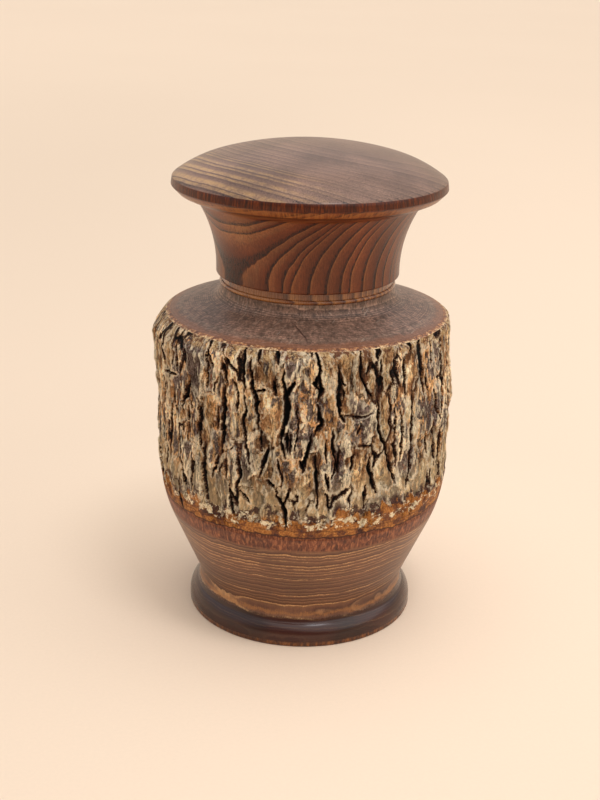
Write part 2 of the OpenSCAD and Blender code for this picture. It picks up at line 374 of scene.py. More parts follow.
def bark_shell(r, a, z):
    """Vertices and faces of the outer grid, closed at the back by two hidden rings."""
    verts = np.stack([r * np.sin(a), -r * np.cos(a), z], -1).reshape(-1, 3) * MM
    rows, n = z.shape
    grid = np.arange(rows * n).reshape(rows, n)
    beside = np.roll(grid, -1, axis=1)
    faces = [np.stack([grid[:-1], beside[:-1], beside[1:], grid[1:]], -1).reshape(-1, 4)]
    hidden_r = BAST_HIDDEN + 0.08
    hidden = [np.stack([hidden_r * np.sin(a[0]), -hidden_r * np.cos(a[0]), np.full(n, h)], -1) * MM
              for h in (z_bast_low + 3.2, z_bast_top - 1.6)]
    first = np.arange(n) + rows * n
    loops = [grid[0], first, first + n, grid[-1]]
    faces += [np.stack([p, q, np.roll(q, -1), np.roll(p, -1)], -1) for p, q in zip(loops, loops[1:])]
    return np.concatenate([verts] + hidden), np.concatenate(faces)


def bark_surface():
    """Vertices, faces and colour masks of the bark, on a fine grid round the log."""
    rows = np.concatenate([np.linspace(z_bast_low, FINE_BELOW, 15),
                           np.linspace(FINE_BELOW, FINE_ABOVE, 117)[1:],
                           np.linspace(FINE_ABOVE, z_bast_top, 15)[1:]])
    A, Z = np.meshgrid(np.linspace(-math.pi, math.pi, 1040, endpoint=False), rows)
    U = A * UNROLL_R
    X, Y = UNROLL_R * np.sin(A), -UNROLL_R * np.cos(A)

    # The jagged run of every edge comes from shifting the places where things are looked up
    wu = 1.1 * noise3(X / 2.0, Y / 2.0, Z / 2.6, 11, 3) + 1.1 * noise3(X / 9, Y / 9, Z / 12.0, 12)
    wz = 1.6 * noise3(X / 3, Y / 3, Z / 5.0, 13, 2)
    jag = 0.50 * noise3(X / 0.8, Y / 0.8, Z / 1.0, 14, 2)
    PU, PZ = U + wu * 0.5 + jag, Z + wz * 0.5
    plate, tilt, border = bark_plates(U + wu * 1.6, Z + wz * 1.8)

    # Height of the natural surface, in mm above the mean
    coarse = noise3(X / 7, Y / 7, Z / 16, 31, 2)
    knobs = noise3(X / 2.6, Y / 2.6, Z / 4.2, 32, 3)
    fibre = 1 - 3 * np.abs(noise3(X / 1.3 + wu * 0.4, Y / 1.3, Z / 6.0, 33, 3))
    fine = noise3(X / 0.7, Y / 0.7, Z / 1.0, 34, 2)
    lumps = 1 - 3 * np.abs(noise3(X / 2.4 + wu * 0.3, Y / 2.4, Z / 4.4 + wz * 0.2, 36, 3))
    flake = noise3(X / 3.4, Y / 3.4, Z / 8.5, 35, 3) * 3.2
    flake = (np.floor(flake) + step(flake - np.floor(flake), 0.0, 0.14)) / 3.2
    height = (0.60 * coarse + 0.80 * (plate - 0.5) + 0.8 * tilt + 0.26 * knobs
              + 0.20 * fibre + 0.22 * lumps + 0.16 * fine + 0.80 * flake)
    height -= 0.30 * np.exp(-border / 0.5)

    # Small cracks along some of the plates' borders; near is the distance to the closest opening's edge
    open_border = step(noise3(X / 10, Y / 10, Z / 14, 41, 2), 0.0, 0.4) * step(Z, 51, 55)
    near = border + 0.3 - 0.48 * open_border
    crack = 1 - step(near, -0.15, 0.1)

    # Fissures
    uneven = 1 + 0.85 * noise3(X / 1.1, Y / 1.1, Z / 1.7, 51, 2)
    gap, edge = np.zeros(U.shape), np.zeros(U.shape)
    for *line, width in FISSURES + more_fissures(np.random.default_rng(SEED)):
        points = np.array([(math.radians(d) * UNROLL_R, h) for d, h in line])
        nearest, along = distance_to(points, PU, PZ)
        taper = np.clip(4 * along * (1 - along), 0, 1) ** 0.9
        beyond = nearest - 0.40 * width * (0.10 + 0.92 * taper) * uneven
        near = np.minimum(near, beyond)
        gap = np.maximum(gap, 1 - step(beyond, -0.25, 0.12))
        edge = np.maximum(edge, np.exp(-np.maximum(beyond, 0) / 0.7) * min(width, 1.4))
    gap *= 0.2 + 0.8 * step(Z, 46, 51)

    # Chipped upper end
    chip = step(Z + 2.2 * noise3(X / 4, Y / 4, Z / 9, 61, 2), 100.5, 105.5)
    height -= 0.28 * edge + 0.9 * chip * (0.5 + 0.5 * noise3(X / 2, Y / 2, Z / 3, 62, 2))
    height -= 0.9 * crack * (1 - gap)

    # The log leans a little to the left towards the top, and the fissures reach down to a groove
    natural = MEAN_R + height - 1.5 * step(Z, 76, 101) * np.sin(A)
    groove = GROOVE_R + 0.25 * noise3(X / 1.5, Y / 1.5, Z / 4, 71)
    natural = natural * (1 - gap) + np.minimum(groove, natural) * gap
    natural = np.maximum(natural, LEAST_R)
    lathe_r = lathe_radius(Z)
    R = np.minimum(natural, lathe_r)
    R[0], R[-1] = BAST_LOW, BAST_TOP
    verts, faces = bark_shell(R, A, Z)

    # Relief above its surroundings, which paints highlight on the raised bark and shade in its dips
    relief = np.minimum(height, 2.0) * (1 - gap)
    broad = relief - blurred(relief, 14, 10)
    tight = relief - blurred(relief, 3, 2)
    masks = {"near": np.clip(near, -2, 4), "plate": plate, "cut": step(natural - lathe_r, -0.12, 0.18),
             "painted_relief_light": broad / broad.std() * 0.7 + tight / tight.std() * 0.7}
    hidden = np.zeros(len(verts) - Z.size)
    return verts, faces, {name: np.r_[values.ravel(), hidden] for name, values in masks.items()}


# ---------------------------------------------------------------- materials
def rgb(r, g, b):
    """An sRGB colour, 0 to 255, as linear values."""
    return tuple(c / 255 / 12.92 if c / 255 <= 0.04045 else ((c / 255 + 0.055) / 1.055) ** 2.4
                 for c in (r, g, b))


class Value:
    """A node socket that takes part in arithmetic."""

    def __init__(self, graph, socket):
        self.graph, self.socket = graph, socket

    def __add__(self, other):
        return self.graph.math("ADD", self, other)

    def __sub__(self, other):
        return self.graph.math("SUBTRACT", self, other)

    def __mul__(self, other):
        return self.graph.math("MULTIPLY", self, other)

    def __truediv__(self, other):
        return self.graph.math("DIVIDE", self, other)

    def __rsub__(self, other):
        return self.graph.math("SUBTRACT", other, self)


class Graph:
    """Builds one material's nodes."""

    def __init__(self, name, world=None):
        if world is None:
            self.mat = bpy.data.materials.new(name)
            self.mat.use_nodes = True
            self.tree = self.mat.node_tree
            self.tree.nodes.clear()
            out = self.tree.nodes.new("ShaderNodeOutputMaterial")
            self.bsdf = self.tree.nodes.new("ShaderNodeBsdfPrincipled")
            self.tree.links.new(self.bsdf.outputs[0], out.inputs[0])
        else:
            self.tree = world.node_tree

    def put(self, socket, value):
        if isinstance(value, Value):
            self.tree.links.new(value.socket, socket)
        elif isinstance(value, tuple) and socket.type == "RGBA":
            socket.default_value = (*value, 1.0)
        else:
            socket.default_value = value

    def node(self, kind, out=0, inputs=(), **props):
        n = self.tree.nodes.new("ShaderNode" + kind)
        for k, v in props.items():
            setattr(n, k, v)
        for k, v in dict(inputs).items():
            self.put(n.inputs[k], v)
        return Value(self, n.outputs[out])

    def math(self, op, a, b=0.0):
        return self.node("Math", inputs={0: a, 1: b}, operation=op)

    def place(self):
        """Object coordinates in mm."""
        tex = self.node("TexCoord", out="Object")
        return self.node("VectorMath", inputs={0: tex, "Scale": 1000.0}, operation="SCALE")

    def xyz(self, vector):
        n = self.tree.nodes.new("ShaderNodeSeparateXYZ")
        self.put(n.inputs[0], vector)
        return [Value(self, n.outputs[i]) for i in range(3)]

    def vector(self, x, y, z):
        return self.node("CombineXYZ", inputs={0: x, 1: y, 2: z})

    def around(self, p, count, tall=0.0, shift=0.0):
        """Coordinates that run round the axis on a circle of radius count, with no seam anywhere."""
        x, y, z = self.xyz(p)
        r = self.radius(x, y)
        return self.vector(x / r * count, y / r * count, z * tall + shift)

    def radius(self, x, y):
        return self.math("SQRT", x * x + y * y)

    def noise(self, vector, size, detail, rough, seed=0.0, distort=0.0):
        moved = self.node("VectorMath", inputs={0: vector, 1: (seed * 17.3, seed * 9.1, seed * 5.7)},
                          operation="ADD")
        return self.node("TexNoise", inputs={"Vector": moved, "Scale": 1 / size, "Detail": detail,
                                             "Roughness": rough, "Distortion": distort})

    def grain(self, p, sizes, *settings):
        """Noise of a different size along each axis, in mm."""
        shrink = tuple(1 / size for size in sizes)
        scaled = self.node("VectorMath", inputs={0: p, 1: shrink}, operation="MULTIPLY")
        return self.noise(scaled, 1.0, *settings)

    def smooth(self, x, lo, hi, to_lo=0.0, to_hi=1.0):
        return self.node("MapRange", inputs={"Value": x, "From Min": lo, "From Max": hi,
                                             "To Min": to_lo, "To Max": to_hi},
                         interpolation_type="SMOOTHSTEP")

    def bump_at(self, x, centre, half):
        """1 at the centre, 0 further than half from it."""
        return self.smooth(self.math("ABSOLUTE", x - centre), 0.0, half, 1.0, 0.0)

    def mix(self, f, a, b, blend="MIX"):
        return self.node("Mix", out=2, inputs={0: f, 6: a, 7: b}, data_type="RGBA", blend_type=blend)

    def tint(self, colour, amount):
        """A colour times a grey amount."""
        return self.mix(1.0, colour, self.node("CombineColor", inputs={0: amount, 1: amount, 2: amount}),
                        "MULTIPLY")

    def steps(self, x, stops):
        """A colour ramp with stops of (position, linear colour)."""
        v = self.node("ValToRGB", inputs={0: x})
        elements = v.socket.node.color_ramp.elements
        while len(elements) < len(stops):
            elements.new(0.5)
        for element, (position, colour) in zip(elements, stops):
            element.position = position
            element.color = (*colour, 1.0)
        return v

    def ramp(self, x, *stops):
        """A colour ramp with stops of (position, red, green, blue), 0 to 255."""
        return self.steps(x, [(stop[0], rgb(*stop[1:])) for stop in stops])

    def attribute(self, name):
        return self.node("Attribute", out="Fac", attribute_name=name)

    def surface(self, colour, rough, height, depth_mm, **fixed):
        bump = self.node("Bump", inputs={"Height": height, "Distance": depth_mm * MM, "Strength": 1.0})
        for k, v in {"Base Color": colour, "Roughness": rough, "Normal": bump}.items():
            self.put(self.bsdf.inputs[k], v)
        for k, v in fixed.items():
            self.bsdf.inputs[k.replace("_", " ")].default_value = v
        return self.mat


class Paint:
    """A colour that is laid over and shaded step by step."""

    def __init__(self, graph, colour):
        self.graph, self.colour = graph, colour

    def lay(self, share, *over):
        """Lays a colour over it: a socket, or red, green and blue from 0 to 255."""
        self.colour = self.graph.mix(share, self.colour, over[0] if len(over) == 1 else rgb(*over))

    def shade(self, amount, *curve):
        """Multiplies it by a grey amount, which a curve may stretch as Graph.smooth() does."""
        self.colour = self.graph.tint(self.colour, self.graph.smooth(amount, *curve) if curve else amount)


def from_pith(g, p, pith, slow_sizes, quick_sizes, wobble, ripple, seed):
    """Distance from the pith in mm, with the rings' slow wobble and quick ripple."""
    x, y, _ = g.xyz(p)
    slow = g.grain(p, slow_sizes, 2.0, 0.5, seed)
    quick = g.grain(p, quick_sizes, 3.0, 0.6, seed + 1)
    return g.radius(x - pith[0], y - pith[1]) + (slow - 0.5) * wobble + (quick - 0.5) * ripple


def numbered(g, q, seed):
    """Share of the way through a ring, and the ring's own random number."""
    number = g.math("FLOOR", q)
    return q - number, g.node("TexWhiteNoise", inputs={"W": number + seed}, noise_dimensions="1D")


def rings(g, p, pith, spacing, wobble, jitter, seed):
    """Evenly grown rings: share of the way through one, and its own random number."""
    r = from_pith(g, p, pith, (14, 14, 30), (2.2, 2.2, 7), wobble, wobble * 0.22, seed)
    uneven = g.noise(g.vector(r / (spacing * 1.7), seed + 3.3, 0.5), 1.0, 1.0, 0.5)
    return numbered(g, r / spacing + (uneven - 0.5) * jitter, seed)


# Distances of the lid's ring boundaries from its pith, in mm, irregular as they grew
LID_RINGS = [30.0, 33.4, 36.2, 39.5, 42.1, 43.5, 45.7, 47.9, 49.7, 50.4,
             51.7, 53.0, 55.9, 57.2, 60.3, 61.6, 64.8, 66.0, 69.0]


def listed_rings(g, p, pith, radii, wobble, seed):
    """Distance from the pith, then as rings(), with listed boundaries, or 2.2 mm apart nearer the pith."""
    r = from_pith(g, p, pith, (16, 16, 26), (1.6, 1.6, 5), wobble, 0.24, seed)
    first, last, count = radii[0], radii[-1], len(radii) - 1
    grey = g.steps((r - first) / (last - first),
                   [((v - first) / (last - first), (i / count,) * 3) for i, v in enumerate(radii)])
    inner = g.math("MINIMUM", r - first, 0.0) / 2.2
    uneven = g.noise(g.vector(r / 4.0, seed, 0.5), 1.0, 1.0, 0.5)
    q = grey * float(count) + inner + (uneven - 0.5) * g.smooth(r, first + 3.0, first - 3.0) * 1.6
    return r, *numbered(g, q, seed)


def lid_wood():
    """The lid: end grain on top, rings about a pith behind and to the right of the middle."""
    g = Graph("lid_wood")
    p = g.place()
    x, y, z = g.xyz(p)
    h = z - SEAM_Z
    true_r = g.radius(x, y)
    r, part, own = listed_rings(g, p, (18.0, 15.0), LID_RINGS, 1.3, 2.0)
    fibre = g.grain(p, (0.32, 0.32, 7), 3.0, 0.6)
    speck = g.grain(p, (0.36, 0.36, 1.5), 2.0, 0.6, 4.0)
    normal_z = g.xyz(g.node("NewGeometry", out="Normal"))[2]
    up = g.smooth(normal_z, 0.35, 0.8)
    side = g.smooth(g.math("ABSOLUTE", normal_z), 0.9, 0.7)
    # End grain on top, in colours lightened and greyed to paint in part of the sheen reflected from the
    # bright surroundings
    end_grain_and_sheen = Paint(g, g.ramp(part, (0.0, 98, 72, 62), (0.3, 118, 90, 76), (0.8, 131, 101, 84),
                                (0.93, 154, 123, 98), (1.0, 104, 78, 66)))
    end_grain_and_sheen.lay(g.smooth(x - y * 0.3, -16.0, 12.0) * 0.55, 125, 97, 82)
    wood = Paint(g, g.ramp(part, (0.0, 70, 27, 9), (0.12, 90, 39, 16), (0.5, 108, 53, 26),
                           (0.84, 120, 64, 34), (0.95, 140, 84, 46), (1.0, 66, 26, 10)))
    wood.lay(up, end_grain_and_sheen.colour)
    # The outer rings have wide golden bands between dark ones
    drift = g.grain(p, (9, 9, 20), 1.0, 0.5, 8.0)
    outer = g.smooth(r + (drift - 0.5) * 5.0, 49.0, 52.0)
    start = g.smooth(r, 50.0, 60.0, 0.55, 0.25) + (own - 0.5) * 0.4 + (fibre - 0.5) * 0.5
    gold = g.smooth(part - start, -0.05, 0.25) * g.smooth(part, 0.98, 0.80) * outer
    gold = gold * g.smooth(drift, 0.3, 0.55, 0.35, 1.0) * g.smooth(x + (drift - 0.5) * 30.0, 14.0, -16.0)
    gold = gold * g.smooth(g.grain(p, (2.4, 2.4, 6), 4.0, 0.65, 23.0), 0.36, 0.56, 0.35, 1.0)
    wood.lay(gold * g.smooth(up, 0.0, 1.0, 0.16, 0.85), 170, 134, 92)
    dull = g.grain(p, (16, 16, 20), 2.0, 0.5, 6.0)
    wood.shade(dull, 0.3, 0.7, 0.82, 1.2)
    wood.shade(own, 0.0, 1.0, 0.9, 1.1)
    wood.shade(fibre, 0.3, 0.7, 0.80, 1.20)
    wood.shade(speck, 0.3, 0.7, 1.14, 0.86)
    glow = g.bump_at(x, -22.0, 9.0) * g.bump_at(h, 19.0, 9.0) * g.smooth(y, 0.0, -12.0)
    wood.lay(glow * 0.5 * g.smooth(fibre, 0.3, 0.6), 176, 124, 74)
    # Pores: dashes along the neck's rings, dots on the end grain
    early = g.smooth(part, 0.24, 0.12) * g.smooth(part, 0.0, 0.02)
    dots = g.smooth(g.noise(p, 0.36, 2.0, 0.6, 4.0), 0.56, 0.64)
    marks = (g.smooth(speck, 0.50, 0.56) * 0.6 + 0.4) * early * side
    marks = g.math("MINIMUM", marks + dots * up * 0.5 * (1.0 - gold) + dots * side * 0.2, 1.0)
    wood.lay(marks * 0.92, 24, 12, 10)
    # Greyer towards the back of the top: dust and wear, and a painted sheen of the bright backdrop behind
    worn_and_sheen = g.smooth(y + (dull - 0.5) * 30, -16.0, 24.0) * up
    wood.lay(worn_and_sheen * 0.35, 122, 104, 92)
    streak = g.noise(g.vector(x * 0.35 + y * 1.5, y * 0.35 - x * 0.4, 0.0), 1.6, 2.0, 0.5, 3.0)
    wood.lay(g.smooth(streak, 0.66, 0.74) * up * g.smooth(y, -20.0, 20.0) * 0.24, 190, 176, 160)
    # The rim's upright band is end grain cut square: dark, with fine upright stripes
    stripes = g.noise(g.around(p, 80.0, 0.2), 1.0, 5.0, 0.7)
    rim = g.smooth(h, 28.2, 28.5) * g.smooth(h, 31.0, 30.85) * g.smooth(true_r, 42.8, 43.2)
    wood.lay(rim * 0.95, g.ramp(stripes, (0.36, 34, 8, 0), (0.5, 72, 24, 1), (0.64, 112, 48, 4)))
    # The bevel under the rim is golden, over a dark line of painted shadow where the rim overhangs the flare
    bevel = g.smooth(h, 26.0, 26.3) * g.smooth(h, 28.3, 27.8) * g.smooth(true_r, 41.0, 42.0)
    wood.lay(bevel * g.smooth(stripes, 0.42, 0.58, 0.1, 0.75), 164, 104, 54)
    wood.lay(g.bump_at(h, 25.7, 0.6) * g.smooth(true_r, 38.0, 40.0) * 0.7, 40, 14, 5)
    rough = g.smooth(fibre, 0.2, 0.8, 0.30, 0.42) + worn_and_sheen * 0.12
    height = fibre * 0.35 - marks * 0.9 + g.noise(p, 0.7, 3.0, 0.6) * 0.3
    return g.surface(wood.colour, rough, height, 0.05,
                     Specular_IOR_Level=0.28, Coat_Weight=0.12, Coat_Roughness=0.16)


def body_wood():
    """The turned wood of the body: rings about the axis, a golden ring at the waist, a dark glossy foot."""
    g = Graph("log_wood")
    p = g.place()
    x, y, z = g.xyz(p)
    true_r = g.radius(x, y)
    part, own = rings(g, p, (0.6, 0.4), 0.62, 1.5, 1.8, 5.0)
    wave = g.grain(p, (5, 5, 2.2), 3.0, 0.6, 2.0)
    fibre = g.grain(p, (0.3, 0.3, 3.5), 3.0, 0.6)
    fine = g.noise(p, 0.45, 3.0, 0.65)
    blotch = g.grain(p, (18, 18, 12), 3.0, 0.55, 7.0)
    wood = Paint(g, g.ramp(part, (0.0, 76, 42, 28), (0.2, 104, 64, 43), (0.6, 120, 81, 56),
                           (0.86, 154, 109, 74), (1.0, 84, 49, 33)))
    bright = g.smooth(own, 0.35, 0.8) * g.smooth(part, 0.60, 0.78) * g.smooth(wave, 0.38, 0.54)
    wood.lay(bright * g.smooth(fibre, 0.35, 0.6, 0.35, 0.85), 196, 150, 100)
    wood.shade(own, 0.0, 1.0, 0.86, 1.1)
    wood.shade(fibre, 0.25, 0.75, 0.84, 1.16)
    wood.shade(blotch, 0.3, 0.7, 0.86, 1.12)
    pores = g.smooth(g.grain(p, (0.38, 0.38, 0.7), 2.0, 0.6, 3.0), 0.6, 0.7)
    wood.lay(pores * 0.45, 58, 33, 26)

    # Waist: the ring that the hollow only just grazes shows as a ragged golden band
    ragged = (wave - 0.5) * 3.4 + (fine - 0.5) * 2.4
    wood.lay(g.bump_at(z + ragged, 10.3, 1.1) * g.smooth(fibre, 0.3, 0.6, 0.4, 1.0) * 0.7, 172, 114, 60)
    # Moulding: dark and glossy, over an orange-brown foot band
    foot = g.smooth(z + ragged * 0.45, 9.6, 8.2)
    wood.lay(foot * 0.9, g.mix(g.smooth(blotch, 0.3, 0.7), rgb(29, 7, 5), rgb(58, 20, 13)))
    band = g.smooth(z + (fine - 0.5) * 0.8, 2.0, 1.2)
    stripes = g.noise(g.around(p, 45.0, 0.3), 1.0, 3.0, 0.6)
    wood.lay(band, g.ramp(stripes, (0.34, 56, 26, 12), (0.5, 96, 52, 24), (0.66, 140, 86, 42)))

    # Shoulder: grey-brown end grain, redder towards the bark
    up = g.smooth(z, 96.0, 101.0)
    end = Paint(g, g.ramp(part, (0.0, 88, 63, 52), (0.4, 118, 89, 73),
                          (0.8, 142, 112, 94), (1.0, 96, 70, 58)))
    coarse_grain = g.grain(p, (0.7, 0.7, 2.0), 5.0, 0.75, 15.0)
    end.shade(blotch, 0.3, 0.7, 0.86, 1.14)
    end.shade(coarse_grain, 0.34, 0.66, 0.56, 1.44)
    end.shade(g.noise(g.around(p, 26.0, 1.5), 1.0, 5.0, 0.7, 18.0, 0.4), 0.38, 0.62, 0.76, 1.24)
    end.shade(g.grain(p, (2.2, 1.6, 4.0), 5.0, 0.72, 19.0, 0.3), 0.38, 0.62, 0.68, 1.36)
    inner_red = g.smooth(true_r + (wave - 0.5) * 4.0 + (coarse_grain - 0.5) * 3.0, 41.8, 43.4)
    end.lay(inner_red * 0.55, 138, 86, 56)
    pale_ring = g.bump_at(true_r + (wave - 0.5) * 1.6, 41.0, 0.8)
    end.lay(pale_ring * 0.3 * g.smooth(coarse_grain, 0.4, 0.6), 168, 146, 122)
    # A short crack, straight in plan and a little askew
    cross = (x + 4.4) * 0.906 + (y + 30.7) * 0.422 + (g.noise(p, 3.0, 3.0, 0.6) - 0.5) * 1.6
    crack = g.smooth(g.math("ABSOLUTE", cross), 0.32, 0.10)
    crack = crack * g.bump_at(true_r, 36.5, 7.5) * g.smooth(y * -1.0, 20.0, 26.0)
    end.lay(g.math("MINIMUM", crack * 1.6, 1.0) * 0.75, 52, 22, 18)
    # Light scratches and dust
    scratch = g.noise(g.vector(x * 0.25 + y * 2.4, y * 0.2 - x * 0.5, 0.0), 1.5, 1.0, 0.4, 9.0)
    other = g.noise(g.vector(x * 2.2 - y * 1.2, y * 0.12 + x * 0.3, 1.0), 1.5, 1.0, 0.4)
    lines = g.math("MAXIMUM", g.smooth(scratch, 0.70, 0.75), g.smooth(other, 0.71, 0.75))
    dust = g.smooth(g.noise(p, 1.1, 4.0, 0.7, 12.0), 0.58, 0.75)
    end.lay(g.math("MINIMUM", lines * 0.5 + dust * 0.25, 1.0), 170, 150, 132)
    wood.lay(up, end.colour)

    rough = g.smooth(fibre, 0.2, 0.8, 0.36, 0.5) + up * 0.1 - foot * 0.24 + band * 0.2
    height = fibre * 0.3 - pores * 0.4 + part * 0.25 - crack * 2.5 * up + coarse_grain * up * 1.4
    height = height * (1.0 - foot * 0.75)
    return g.surface(wood.colour, rough, height, 0.06,
                     Specular_IOR_Level=0.4, Coat_Weight=0.22, Coat_Roughness=0.28)


def red_streaks(g, p):
    """Fine upright streaks, and their colour in the reddish layer."""
    streaks = g.noise(g.around(p, 55.0, 0.45), 1.0, 4.0, 0.65, 0.0, 0.6)
    return streaks, g.ramp(streaks, (0.34, 64, 30, 20), (0.5, 114, 61, 38), (0.66, 172, 108, 68))


def inner_bark_look():
    """The dark reddish layer between wood and bark."""
    g = Graph("inner_bark")
    p = g.place()
    x, y, z = g.xyz(p)
    streaks, red_colour = red_streaks(g, p)
    slow = g.grain(p, (6, 6, 4), 3.0, 0.6)
    speckle = g.noise(p, 1.1, 5.0, 0.75, 4.0)
    on_shoulder = g.smooth(z, 90.0, 95.0)
    layer = Paint(g, red_colour)
    layer.lay(on_shoulder, g.ramp(speckle, (0.38, 70, 42, 34), (0.47, 124, 76, 52), (0.55, 172, 114, 70),
                                  (0.64, 220, 174, 124)))
    layer.shade(slow, 0.3, 0.7, 0.82, 1.14)
    # Pale chips of the bark's broken end reach in over the shelf
    ragged = g.noise(p, 1.6, 4.0, 0.7, 9.0)
    chips = g.smooth(g.radius(x, y) + (ragged - 0.5) * 4.4, BAST_TOP - 0.45, BAST_TOP - 0.3) * on_shoulder
    layer.lay(chips * 0.9, g.mix(g.smooth(speckle, 0.44, 0.56), rgb(140, 96, 62), rgb(236, 204, 154)))
    fine = g.noise(p, 0.5, 3.0, 0.7)
    wood_edge = g.smooth(z + (slow - 0.5) * 1.6, z_wood_low + 1.0, z_wood_low + 0.3)
    layer.lay(wood_edge * 0.7, 128, 86, 60)
    layer.lay(g.smooth(fine, 0.55, 0.75) * 0.3, 176, 120, 86)
    rough = g.smooth(fine, 0.2, 0.8, 0.42, 0.58)
    return g.surface(layer.colour, rough, streaks * 0.6 + fine * 0.4, 0.12)


def bark_look():
    """Bark: tan and grey plates, fissures painted near-black as shade, orange cork and cream chips where the
    lathe cut.
    """
    g = Graph("bark")
    p = g.place()
    x, _, z = g.xyz(p)
    near, plate, cut, painted_relief_light = (g.attribute(name) for name in ("near", "plate", "cut", "painted_relief_light"))
    grain = g.grain(p, (0.75, 0.75, 2.6), 5.0, 0.78, 0.0, 0.2)
    speck = g.noise(p, 0.55, 4.0, 0.75, 2.0)
    tone = g.grain(p, (4.0, 4.0, 8.0), 6.0, 0.72, 9.0, 0.4)
    blot = g.grain(p, (3.6, 3.6, 9.5), 6.0, 0.68, 3.0, 0.5)
    rust = g.grain(p, (3.2, 3.2, 5.0), 6.0, 0.74, 21.0, 0.3)
    wide = g.grain(p, (9, 9, 16), 3.0, 0.6, 5.0)
    bark = Paint(g, g.ramp(tone, (0.38, 118, 78, 48), (0.45, 166, 121, 80), (0.50, 204, 161, 112),
                           (0.56, 236, 200, 148), (0.64, 255, 240, 206)))
    warm = g.smooth(wide + (plate - 0.5) * 0.25 + (tone - 0.5) * 0.2, 0.50, 0.58)
    bark.lay(warm * 0.45, 208, 150, 92)
    # The flat middles of the plates are weathered to charcoal and grey
    charcoal = g.mix(g.smooth(speck, 0.38, 0.64), rgb(42, 35, 38), rgb(116, 101, 97))
    grey = g.smooth(blot + (plate - 0.5) * 0.28 + g.smooth(near, 0.2, 1.6, -0.07, 0.05), 0.526, 0.544)
    bark.lay(grey * 0.92, charcoal)
    bark.lay(g.smooth(rust, 0.575, 0.595) * 0.75, 124, 76, 48)
    # Painted highlight on the raised parts and painted shade in the dips
    bark.lay(g.smooth(painted_relief_light, 0.6, 1.8) * 0.6, 255, 238, 202)
    bark.lay(g.smooth(painted_relief_light, -0.5, -1.8) * 0.75, 60, 40, 30)
    bark.shade(speck, 0.36, 0.64, 0.78, 1.30)
    bark.shade(grain, 0.38, 0.62, 0.74, 1.28)
    broad = g.grain(p, (11.0, 11.0, 22.0), 3.0, 0.6, 31.0, 0.3)
    bark.shade(broad + (plate - 0.5) * 0.2, 0.38, 0.62, 0.70, 1.26)
    # Hairline cracks that follow the fibres
    hair = g.grain(p, (1.5, 1.5, 8.0), 4.0, 0.6, 15.0, 0.5)
    hair = g.smooth(g.math("ABSOLUTE", hair - 0.5), 0.022, 0.005) * g.smooth(rust, 0.44, 0.50)
    bark.lay(hair * 0.85, 36, 24, 18)

    # Where the lathe has cut low down: orange cork, dark patches and cream chips
    chips = g.grain(p, (3.4, 3.4, 2.8), 6.0, 0.75, 14.0, 0.2)
    stains = g.grain(p, (4.2, 4.2, 3.2), 6.0, 0.7, 17.0, 0.2)
    reach = g.noise(g.around(p, 7.0, 0.05), 1.0, 3.0, 0.6, 22.0)
    lift = z + (blot - 0.5) * 9.0 + (speck - 0.5) * 1.5 + (reach - 0.5) * 16.0 - g.smooth(x, 4.0, 16.0) * 2.0
    pale = g.smooth(lift, 50.5, 53.0) * g.smooth(lift, 66.0, 57.0)
    bark.lay(pale * 0.35, 228, 206, 162)
    cork = Paint(g, g.ramp(speck, (0.32, 118, 66, 32), (0.5, 176, 112, 54), (0.68, 222, 160, 84)))
    cork.lay(g.smooth(stains, 0.49, 0.54) * 0.75, 98, 52, 38)
    low = g.smooth(lift, 50.5, 49.8)
    low = g.math("MAXIMUM", low, cut * g.smooth(z, 53.0, 49.5))
    bark.lay(low, cork.colour)
    patch = g.smooth(stains + g.bump_at(lift, 51.5, 4.0) * 0.13, 0.595, 0.61) * g.smooth(z, 58.0, 54.0)
    bark.lay(patch * 0.9, g.mix(g.smooth(speck, 0.4, 0.6), rgb(58, 36, 34), rgb(92, 58, 50)))
    chip = g.smooth(chips + g.bump_at(z + (wide - 0.5) * 8.0, 49.6, 4.0) * 0.13, 0.635, 0.65)
    chip = chip * g.smooth(z, 45.6, 46.8) * g.smooth(z, 56.0, 53.0)
    bark.lay(chip, g.mix(g.smooth(speck, 0.38, 0.6), rgb(222, 192, 144), rgb(255, 244, 214)))
    # The upper end is chipped down to paler and redder layers
    end = g.smooth(z + (blot - 0.5) * 5.0, 101.2, 102.6)
    top_colour = g.ramp(speck, (0.3, 146, 96, 60), (0.5, 206, 168, 116), (0.7, 246, 226, 184))
    bark.lay(end * g.smooth(chips, 0.44, 0.50) * 0.9, top_colour)
    bark.lay(end * g.smooth(rust, 0.52, 0.55) * 0.85, 108, 60, 42)
    # The lowest, innermost part is the same dark red as the layer under it, with a scalloped edge
    scallop = g.noise(g.around(p, 26.0), 1.0, 2.0, 0.5, 1.0)
    wander = g.noise(g.around(p, 3.2, 0.0, 3.0), 1.0, 2.0, 0.5, 2.0)
    line = z - (scallop - 0.5) * 1.5 - (wander - 0.5) * 3.0
    layer = g.bump_at(line + (wander - 0.5) * 3.0, 46.3, 0.4) * g.smooth(wide, 0.4, 0.5)
    bark.lay(layer * 0.7, 88, 46, 28)
    red = g.smooth(line, 44.35, 44.0)
    bark.lay(red, red_streaks(g, p)[1])
    bark.lay(g.bump_at(line, 44.25, 0.45) * 0.9, 52, 26, 24)
    # Fissures: jagged lips with a painted highlight, a thin reddish wall, and a black floor that is painted
    # shade
    edge = near + (speck - 0.5) * 1.0 + (grain - 0.5) * 0.6
    lit = g.bump_at(edge, 0.50, 0.34) * g.smooth(tone, 0.44, 0.52) * (1.0 - low)
    bark.lay(lit * 0.65, 255, 240, 212)
    bark.lay(g.smooth(edge, 0.28, 0.10), 80, 44, 27)
    bark.lay(g.smooth(edge, 0.14, -0.08), 8, 6, 5)
    smooth_cut = g.math("MAXIMUM", red, low * cut * 0.8)
    height = (grain * 0.9 + speck * 0.9 - hair * 0.5) * (1.0 - smooth_cut * 0.8)
    return g.surface(bark.colour, 0.92 - smooth_cut * 0.36, height, 0.6, Specular_IOR_Level=0.3)


